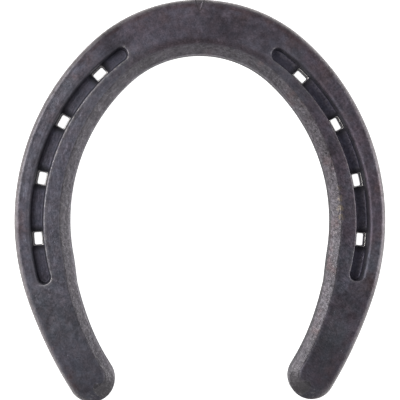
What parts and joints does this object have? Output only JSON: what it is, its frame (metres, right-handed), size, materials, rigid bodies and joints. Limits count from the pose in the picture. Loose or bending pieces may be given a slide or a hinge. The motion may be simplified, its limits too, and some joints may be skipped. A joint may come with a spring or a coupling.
{
  "type": "horseshoe",
  "caption": "Forged steel front horseshoe with a fullered crease and punched nail holes in each branch, a bevelled inner edge and rounded heels.",
  "frame": {"origin": "middle of the shoe's outline, on the flat hoof face that it lies on", "axes": "+X to the side of the shoe, whose outline is symmetric about X = 0; +Y from the heels to the toe; +Z from the hoof face to the creased ground face"},
  "size_m": [0.13, 0.1404, 0.008],
  "materials": {
    "forged_steel": "matte dark forge scale on mild steel, with faint reddish-brown patches and slightly brighter rubbed edges"
  },
  "bodies": {
    "root": {"shoe": "forged_steel"}
  },
  "joints": []
}
